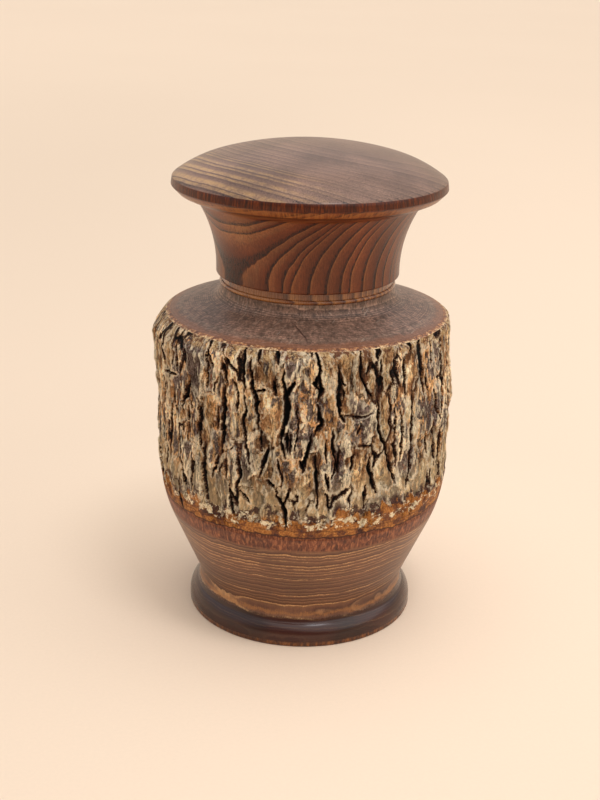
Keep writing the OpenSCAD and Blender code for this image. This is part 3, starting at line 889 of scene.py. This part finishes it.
def plain_wood(name, colours, roughness, pith, spacing, coat, seed):
    """Plain turned wood with its own rings, grain and pores."""
    g = Graph(name)
    p = g.place()
    part, own = rings(g, p, pith, spacing, 2.0, 1.5, seed)
    fibre = g.grain(p, (0.3, 0.3, 6), 3.0, 0.6, seed)
    dark, middle, light = colours
    wood = Paint(g, g.ramp(part, (0.0, *dark), (0.25, *middle), (0.85, *light), (1.0, *dark)))
    wood.shade(fibre, 0.25, 0.75, 0.82, 1.18)
    wood.shade(own, 0.0, 1.0, 0.88, 1.12)
    pores = g.smooth(g.grain(p, (0.4, 0.4, 2.4), 2.0, 0.6, seed + 2), 0.58, 0.68)
    wood.lay(pores * 0.4, 58, 32, 22)
    rough = g.smooth(fibre, 0.2, 0.8, *roughness)
    return g.surface(wood.colour, rough, fibre * 0.6 - pores * 0.5, 0.05,
                     Coat_Weight=coat, Coat_Roughness=0.2)


# ---------------------------------------------------------------- the pieces
body_profile = (foot_line + waist_line[1:] + [p for p in low_wood if p[1] > waist_line[-1][1] + 0.01]
                + [(WOOD_HIDDEN, z_wood_low + 3.5), (WOOD_HIDDEN, z_wood_top - 1.2)] + top_wood
                + [(SPIGOT_R + GAP + 0.1, BODY_H), (SPIGOT_R + GAP, BODY_H - 0.1), (SPIGOT_R + GAP, COLLAR_Z)]
                + [(CHAMBER_R, COLLAR_Z), (CHAMBER_R, RECESS_TOP)]
                + [(RECESS_R - 0.1, RECESS_TOP), (RECESS_R, RECESS_TOP - 0.1)])
finish_mesh("turned_body", *lathe(body_profile), "caddy", "body", "log_wood", body_wood())

bast_profile = ([low_wood[-1]] + [p for p in low_bast if p[1] > z_wood_low + 0.01]
                + [(BAST_HIDDEN, z_bast_low + 3.4), (BAST_HIDDEN, z_bast_top - 1.8)]
                + [p for p in top_bast if p[1] < z_wood_top - 0.01] + [top_wood[0]]
                + [(WOOD_HIDDEN + 0.06, z_wood_top - 1.4), (WOOD_HIDDEN + 0.06, z_wood_low + 3.7)])
finish_mesh("inner_bark_layer", *lathe(bast_profile), "caddy", "inner_bark", "inner_bark", inner_bark_look())

verts, faces, masks = bark_surface()
bark = finish_mesh("bark_layer", verts.tolist(), faces.tolist(), "caddy", "bark", "bark",
                   bark_look(), sharp=75)
for mask, values in masks.items():
    layer = bark.data.attributes.new(mask, "FLOAT", "POINT")
    layer.data.foreach_set("value", values.astype(np.float32))

plug_r = CHAMBER_R - GAP
plug_profile = [(0, PLUG_LOW), (plug_r - 0.5, PLUG_LOW), (plug_r, PLUG_LOW + 0.5),
                (plug_r, PLUG_TOP - CHAMFER), (plug_r - CHAMFER, PLUG_TOP), (0, PLUG_TOP)]
finish_mesh("bottom_disc", *lathe(plug_profile), "caddy", "base_plug", "plug_wood",
            plain_wood("plug_wood", ((112, 74, 50), (150, 106, 72), (172, 126, 88)), (0.45, 0.6),
                       (9.0, -30.0), 1.9, 0.05, 3.0))

RING_R, BEAD_R = 27.9, 0.7
collar_profile = ([(MOUTH_R, COLLAR_Z + CHAMFER), (MOUTH_R + CHAMFER, COLLAR_Z), (SPIGOT_R, COLLAR_Z)]
                  + [(SPIGOT_R, BODY_H), (RING_R, BODY_H)] + arc(RING_R, BODY_H + BEAD_R, BEAD_R, -90, 90, 14)
                  + [(RING_R, SEAM_Z - 0.25), (RING_R - 0.25, SEAM_Z)]
                  + [(SPIGOT_R + 0.1, SEAM_Z), (SPIGOT_R, SEAM_Z + 0.1)]
                  + arc(SPIGOT_R - CHAMFER, SPIGOT_TOP - CHAMFER, CHAMFER, 0, 90, 5)
                  + [(MOUTH_R + CHAMFER, SPIGOT_TOP), (MOUTH_R, SPIGOT_TOP - CHAMFER)])
finish_mesh("collar", *lathe(collar_profile), "caddy", "neck_collar", "collar_wood",
            plain_wood("collar_wood", ((84, 42, 18), (126, 72, 36), (168, 110, 58)), (0.22, 0.34),
                       (26.0, 34.0), 2.3, 0.4, 6.0))

KNOB_LOW = bottom("inner_lid_knob")
hole_r, hole_z = TENON_R + GAP, KNOB_LOW - GAP
stopper_profile = ([(0, STOPPER_Z), (STOPPER_R - CHAMFER, STOPPER_Z), (STOPPER_R, STOPPER_Z + CHAMFER)]
                   + [(STOPPER_R, SPIGOT_TOP)] + arc(FLANGE_R - 0.5, SPIGOT_TOP + 0.5, 0.5, -90, 0, 4)
                   + arc(FLANGE_R - 0.7, FLANGE_Z - 0.7, 0.7, 0, 90, 6)
                   + [(hole_r + 0.2, FLANGE_Z), (hole_r, FLANGE_Z - 0.2), (hole_r, hole_z), (0, hole_z)])
finish_mesh("flat_inner_lid", *lathe(stopper_profile, 240), "inner_lid", "inner_lid", "plain_wood",
            plain_wood("plain_wood", ((142, 98, 64), (162, 116, 77), (178, 134, 92)), (0.36, 0.5),
                       (-40.0, 12.0), 2.6, 0.15, 9.0))

knob_h = KNOB_Z - FLANGE_Z
waist_r, cove_r, head_r, head_h = 3.9, 2.25, 7.5, knob_h * 0.45
cove = arc(waist_r + cove_r, FLANGE_Z + knob_h * 0.2, cove_r, 215, 130, 12)
head = [(head_r * cos(t), KNOB_Z - head_h + head_h * sin(t))
        for t in range(-20, 90, 5)]
knob_profile = ([(0, KNOB_LOW), (TENON_R - 0.2, KNOB_LOW), (TENON_R, KNOB_LOW + 0.2), (TENON_R, FLANGE_Z)]
                + [(cove[0][0], FLANGE_Z)] + cove + head + [(0, KNOB_Z)])
finish_mesh("knob", *lathe(knob_profile, 160), "inner_lid", "inner_lid_knob", "knob_wood",
            plain_wood("knob_wood", ((70, 38, 24), (104, 62, 38), (132, 84, 52)), (0.24, 0.36),
                       (6.0, 3.0), 1.4, 0.4, 12.0))

# The lid: a neck that flares out to the bevel, the rim's upright band and a dome of two radii
NECK_R, NECK_EDGE, NECK_H = 29.7, 0.6, 2.1
FLARE_R, FLARE_TURN = 40.8, 32
DOME_R, DOME_EDGE_R, BLEND_X = 110.0, 41.4, 30.0
RIM_R, RIM_H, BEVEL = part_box("outer_lid")[1].x / MM, 2.5, 2.4
LID_BORE_R, LID_BORE_H, LID_BORE_EDGE = 25.35, 30.4, 3.0
blend = math.degrees(math.asin(BLEND_X / DOME_R))
dome_x = BLEND_X - DOME_EDGE_R * sin(blend)
dome_z = LID_TOP - DOME_R + (DOME_R - DOME_EDGE_R) * cos(blend)
rim_turn = math.degrees(math.asin((RIM_R - 0.35 - dome_x) / DOME_EDGE_R))
rim_top = dome_z + DOME_EDGE_R * cos(rim_turn)
rim_low = rim_top - RIM_H
flare = arc(NECK_R + FLARE_R, SEAM_Z + NECK_H, FLARE_R, 180, 180 - FLARE_TURN, 40)
end_x, end_z = flare[-1]
bevel_x, bevel_z = RIM_R - BEVEL, rim_low - BEVEL
dome_edge = arc(dome_x, dome_z, DOME_EDGE_R, 90 - rim_turn, 90 - blend, 26)
bore_top = SEAM_Z + LID_BORE_H
lid_profile = ([(LID_BORE_R + CHAMFER, SEAM_Z)]
               + arc(NECK_R - NECK_EDGE, SEAM_Z + NECK_EDGE, NECK_EDGE, -90, 0, 6) + flare
               + [(end_x + (bevel_x - end_x) * t, end_z + (bevel_z - end_z) * t) for t in (0.35, 0.7)]
               + [(bevel_x - 0.12, bevel_z + 0.02), (bevel_x + 0.12, bevel_z + 0.16),
                  (RIM_R - 0.22, rim_low - 0.22), (RIM_R, rim_low + 0.12), (RIM_R - 0.14, rim_low + 1.2),
                  (RIM_R - 0.33, rim_top - 0.16), (RIM_R - 0.5, rim_top)]
               + [p for p in dome_edge if p[0] < RIM_R - 0.8]
               + arc(0, LID_TOP - DOME_R, DOME_R, 90 - blend, 90, 26)[1:-1] + [(0, LID_TOP), (0, bore_top)]
               + arc(LID_BORE_R - LID_BORE_EDGE, bore_top - LID_BORE_EDGE, LID_BORE_EDGE, 90, 0, 10)
               + [(LID_BORE_R, SEAM_Z + CHAMFER)])
finish_mesh("flared_lid", *lathe(lid_profile), "outer_lid", "outer_lid", "lid_wood", lid_wood())

# ---------------------------------------------------------------- floor, light and camera
floor_mesh = bpy.data.meshes.new("floor")
FLOOR_R, SPOKES = 14.0, 96
circle = [(FLOOR_R * cos(360 * i / SPOKES), FLOOR_R * sin(360 * i / SPOKES), 0.0) for i in range(SPOKES)]
spokes = [(0, 1 + i, 1 + (i + 1) % SPOKES) for i in range(SPOKES)]
floor_mesh.from_pydata([(0.0, 0.0, 0.0)] + circle, [], spokes)
floor = add_object("floor", floor_mesh)
g = Graph("paper_floor")
place = g.place()
grain = g.noise(place, 1.2, 3.0, 0.6)
broad = g.noise(place, 400.0, 2.0, 0.5)
fx, fy, _ = g.xyz(place)
from_axis = g.radius(fx, fy)
# Painted light on the paper: lighter close round the foot against its shadow, darker out to 190 mm, lighter
# far off, and darker to the left and lighter to the right near the object
floor_painted_light = g.smooth(from_axis, 60.0, 190.0, 1.025, 0.95) * g.smooth(from_axis, 350.0, 2200.0, 1.0, 1.045)
level = g.smooth(from_axis, 500.0, 2000.0)
floor_painted_light = floor_painted_light * (g.smooth(fx, -240.0, 260.0, 0.925, 1.035) * (1.0 - level) + level * 0.98)
paper = Paint(g, g.mix(broad, rgb(243, 220, 195), rgb(246, 223, 198)))
paper.shade(g.smooth(grain, 0.2, 0.8, 0.985, 1.01) * floor_painted_light)
floor.data.materials.append(g.surface(paper.colour, 0.85, grain, 0.02, Specular_IOR_Level=0.2))

world = bpy.data.worlds.new("studio")
bpy.context.scene.world = world
world.use_nodes = True
w = Graph("", world)
background = world.node_tree.nodes["Background"]
direction = w.xyz(w.node("TexCoord", out="Generated"))
sky = w.ramp(w.smooth(direction[2], 0.22, 0.6),
             (0.0, 255, 230, 204), (0.35, 226, 224, 222), (1.0, 236, 238, 242))
front = w.smooth(direction[1], -0.95, -0.25, 0.26, 1.0)
front = w.math("MAXIMUM", front, 1.0 - w.smooth(direction[2], 0.04, 0.2))
front = w.math("MAXIMUM", front, w.smooth(direction[2], 0.6, 0.95))
w.put(background.inputs["Color"], w.tint(sky, front))
background.inputs["Strength"].default_value = 0.93


def lamp(name, kind, place, target, energy, colour, size=None, angle=None):
    """A light turned towards its target."""
    data = bpy.data.lights.new(name, kind)
    data.energy = energy
    data.color = colour
    if size:
        data.size = size
    if angle:
        data.angle = math.radians(angle)
    obj = add_object(name, data)
    obj.location = place
    obj.rotation_euler = (Vector(place) - Vector(target)).to_track_quat("Z", "Y").to_euler()


lamp("key", "SUN", (0.75, -0.45, 1.9), (0, 0, 0), 1.25, rgb(255, 250, 244), angle=90)
lamp("softbox", "AREA", (0.22, -0.32, 1.15), (0, 0, 0.06), 2.6, rgb(246, 248, 255), size=0.26)

LENS_PX, FRAME_PX = 1317.0, 800.0
camera_data = bpy.data.cameras.new("camera")
camera_data.sensor_width = 36.0
camera_data.lens = LENS_PX / FRAME_PX * 36.0
camera_data.clip_start = 0.01
camera_data.clip_end = 60.0
camera = add_object("camera", camera_data)
PITCH, ROLL, YAW = 20.10, 1.42, 0.2
camera_turn = (Matrix.Rotation(math.radians(YAW), 4, "Z")
               @ Matrix.Rotation(math.radians(90 - PITCH), 4, "X")
               @ Matrix.Rotation(math.radians(ROLL), 4, "Z"))
camera.matrix_world = Matrix.Translation((0.0, -0.4166, 0.2247)) @ camera_turn
bpy.context.scene.camera = camera

bpy.context.scene.view_settings.view_transform = "Standard"
